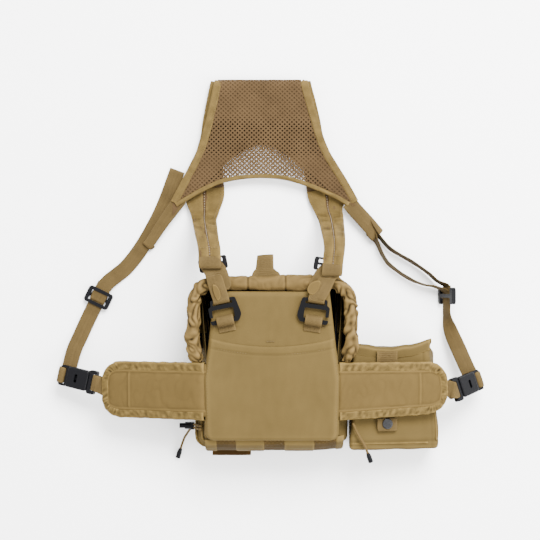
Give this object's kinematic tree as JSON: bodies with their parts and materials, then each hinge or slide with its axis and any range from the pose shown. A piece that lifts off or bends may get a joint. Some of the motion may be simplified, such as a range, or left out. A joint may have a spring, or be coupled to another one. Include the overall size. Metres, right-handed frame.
{
  "type": "binocular harness pack",
  "caption": "Padded chest case for binoculars with a hinged hood lid, buckled side wings, a clip-on pouch and a mesh shoulder harness.",
  "frame": {"origin": "middle of the case's front face, on the plane that it rests on", "axes": "+X to the wing with the pouch, +Y to the yoke, +Z out of the wearer's side"},
  "size_m": [0.549, 0.4935, 0.1105],
  "materials": {
    "coyote_nylon": "matt coated nylon, plain weave",
    "spacer_mesh": "open-hole spacer mesh",
    "coyote_webbing": "ribbed nylon webbing",
    "gathered_hem": "gathered elastic hem",
    "shock_cord": "braided cover",
    "black_lining": "matt black lining",
    "foam": "closed-cell foam",
    "black_acetal": "moulded acetal",
    "black_metal": "black coated metal",
    "spring_steel": "plain wire"
  },
  "bodies": {
    "pack": {"case_front_panel": "coyote_nylon", "side_gussets": "coyote_nylon", "bottom_gusset": "coyote_nylon", "back_panel": "coyote_nylon", "back_panel_foam": "foam", "slip_pocket": "coyote_nylon", "case_lining": "black_lining", "front_pocket": "coyote_nylon", "zipper_tape": "black_acetal", "yoke_mesh": "spacer_mesh", "yoke_binding": "coyote_webbing", "yoke_tails": "coyote_webbing", "left_shoulder_strap": "spacer_mesh", "right_shoulder_strap": "spacer_mesh", "ladder_locks": "black_acetal", "hook_loops": "coyote_webbing", "left_upper_strap": "coyote_webbing", "right_upper_strap": "coyote_webbing", "cord_lock_barrel": "black_acetal", "cord_lock_spring": "spring_steel", "cord_strands": "shock_cord", "left_cord": "shock_cord", "left_cord_tip": "black_acetal", "bottom_webbing": "coyote_webbing"},
    "zipper": {"zipper_slider": "black_metal"},
    "lid": {"lid_rim": "gathered_hem", "rim_elastic": "shock_cord", "lid_hood": "coyote_nylon", "lid_lining": "black_lining", "lid_pull_tab": "coyote_webbing"},
    "left_wing": {"left_wing_pad": "coyote_nylon", "left_buckle_male": "black_acetal", "left_wing_webbing": "coyote_webbing"},
    "right_wing": {"right_wing_pad": "coyote_nylon", "right_buckle_male": "black_acetal", "right_wing_webbing": "coyote_webbing", "pouch_body": "coyote_nylon", "pouch_back_strap": "coyote_webbing", "wing_webbing_rows": "coyote_webbing", "snap_stud": "black_metal", "right_cord": "shock_cord", "right_cord_tip": "black_acetal"},
    "left_upper_prong": {"left_buckle_upper_prong": "black_acetal"},
    "left_lower_prong": {"left_buckle_lower_prong": "black_acetal"},
    "right_upper_prong": {"right_buckle_upper_prong": "black_acetal"},
    "right_lower_prong": {"right_buckle_lower_prong": "black_acetal"},
    "left_strap": {"left_lower_strap": "coyote_webbing"},
    "right_strap": {"right_lower_strap": "coyote_webbing"},
    "left_socket": {"left_buckle_female": "black_acetal"},
    "right_socket": {"right_buckle_female": "black_acetal"},
    "left_slide": {"left_triglide": "black_acetal"},
    "right_slide": {"right_triglide": "black_acetal"},
    "left_hook": {"left_g_hook": "black_metal", "left_hook_strap": "coyote_webbing"},
    "right_hook": {"right_g_hook": "black_metal", "right_hook_strap": "coyote_webbing"},
    "flap": {"pouch_flap": "coyote_nylon"},
    "peel_tab": {"snap_tab": "coyote_webbing", "snap_cap": "black_metal"},
    "cord_plunger": {"cord_lock_plunger": "black_acetal"}
  },
  "joints": [
    {"name": "lid_open", "type": "hinge", "parent": "pack", "child": "lid", "pos_m": [0, 0.03, 0.022], "axis": [-1, 0, 0], "range_deg": [0, 100]},
    {"name": "zipper_slide", "type": "slide", "parent": "pack", "child": "zipper", "axis": [1, 0, 0], "range_m": [0, 0.116]},
    {"name": "left_wing_fold", "type": "hinge", "parent": "pack", "child": "left_wing", "pos_m": [-0.086, 0, 0.0975], "axis": [0, 1, 0], "range_deg": [0, 75]},
    {"name": "left_strap_swing", "type": "hinge", "parent": "pack", "child": "left_strap", "pos_m": [-0.086, 0, 0.0975], "axis": [0, 1, 0], "range_deg": [0, 75]},
    {"name": "left_buckle_release", "type": "slide", "parent": "left_strap", "child": "left_socket", "axis": [-0.9249, 0.1966, -0.3256], "range_m": [0, 0.035]},
    {"name": "left_upper_prong_squeeze", "type": "hinge", "parent": "left_wing", "child": "left_upper_prong", "pos_m": [-0.23369, -0.01991, 0.04129], "axis": [-0.3185, 0.0677, 0.9455], "range_deg": [0, 7], "stiffness_Nm_per_rad": 0.15},
    {"name": "left_lower_prong_squeeze", "type": "hinge", "parent": "left_wing", "child": "left_lower_prong", "pos_m": [-0.2366, -0.03361, 0.04129], "axis": [0.3185, -0.0677, -0.9455], "range_deg": [0, 7], "stiffness_Nm_per_rad": 0.15},
    {"name": "right_wing_fold", "type": "hinge", "parent": "pack", "child": "right_wing", "pos_m": [0.086, 0, 0.0975], "axis": [0, -1, 0], "range_deg": [0, 75]},
    {"name": "right_strap_swing", "type": "hinge", "parent": "pack", "child": "right_strap", "pos_m": [0.086, 0, 0.0975], "axis": [0, -1, 0], "range_deg": [0, 75]},
    {"name": "right_buckle_release", "type": "slide", "parent": "right_strap", "child": "right_socket", "axis": [0.7178, 0.2332, -0.6561], "range_m": [0, 0.035]},
    {"name": "right_upper_prong_squeeze", "type": "hinge", "parent": "right_wing", "child": "right_upper_prong", "pos_m": [0.23602, -0.02768, 0.05652], "axis": [-0.6239, -0.2027, -0.7547], "range_deg": [0, 7], "stiffness_Nm_per_rad": 0.15},
    {"name": "right_lower_prong_squeeze", "type": "hinge", "parent": "right_wing", "child": "right_lower_prong", "pos_m": [0.24035, -0.041, 0.05652], "axis": [0.6239, 0.2027, 0.7547], "range_deg": [0, 7], "stiffness_Nm_per_rad": 0.15},
    {"name": "left_triglide_slide", "type": "slide", "parent": "left_strap", "child": "left_slide", "axis": [-0.438, -0.899, 0], "range_m": [0, 0.018]},
    {"name": "right_triglide_slide", "type": "slide", "parent": "right_strap", "child": "right_slide", "axis": [0, -1, 0], "range_m": [0, 0.012]},
    {"name": "left_hook_swing", "type": "hinge", "parent": "pack", "child": "left_hook", "pos_m": [-0.058, 0.053, 0.1035], "axis": [0.9799, 0.1994, 0], "range_deg": [0, 40]},
    {"name": "right_hook_swing", "type": "hinge", "parent": "pack", "child": "right_hook", "pos_m": [0.0515, 0.053, 0.1035], "axis": [0.9903, -0.1392, 0], "range_deg": [0, 40]},
    {"name": "pouch_flap_open", "type": "hinge", "parent": "right_wing", "child": "flap", "pos_m": [0.108, 0.0205, 0.0766], "axis": [0.9848, 0, -0.1736], "range_deg": [0, 135]},
    {"name": "snap_tab_peel", "type": "hinge", "parent": "right_wing", "child": "peel_tab", "pos_m": [0.13271, -0.0704, 0.07823], "axis": [-0.9848, 0, 0.1736], "range_deg": [0, 60]},
    {"name": "cord_lock_press", "type": "slide", "parent": "pack", "child": "cord_plunger", "axis": [1, 0, 0], "range_m": [0, 0.0022], "stiffness_N_per_m": 600}
  ],
  "couplings": [
    {"joint": "left_strap_swing", "follows": "left_wing_fold", "ratio": 1},
    {"joint": "right_strap_swing", "follows": "right_wing_fold", "ratio": 1},
    {"joint": "left_lower_prong_squeeze", "follows": "left_upper_prong_squeeze", "ratio": 1},
    {"joint": "right_lower_prong_squeeze", "follows": "right_upper_prong_squeeze", "ratio": 1}
  ]
}
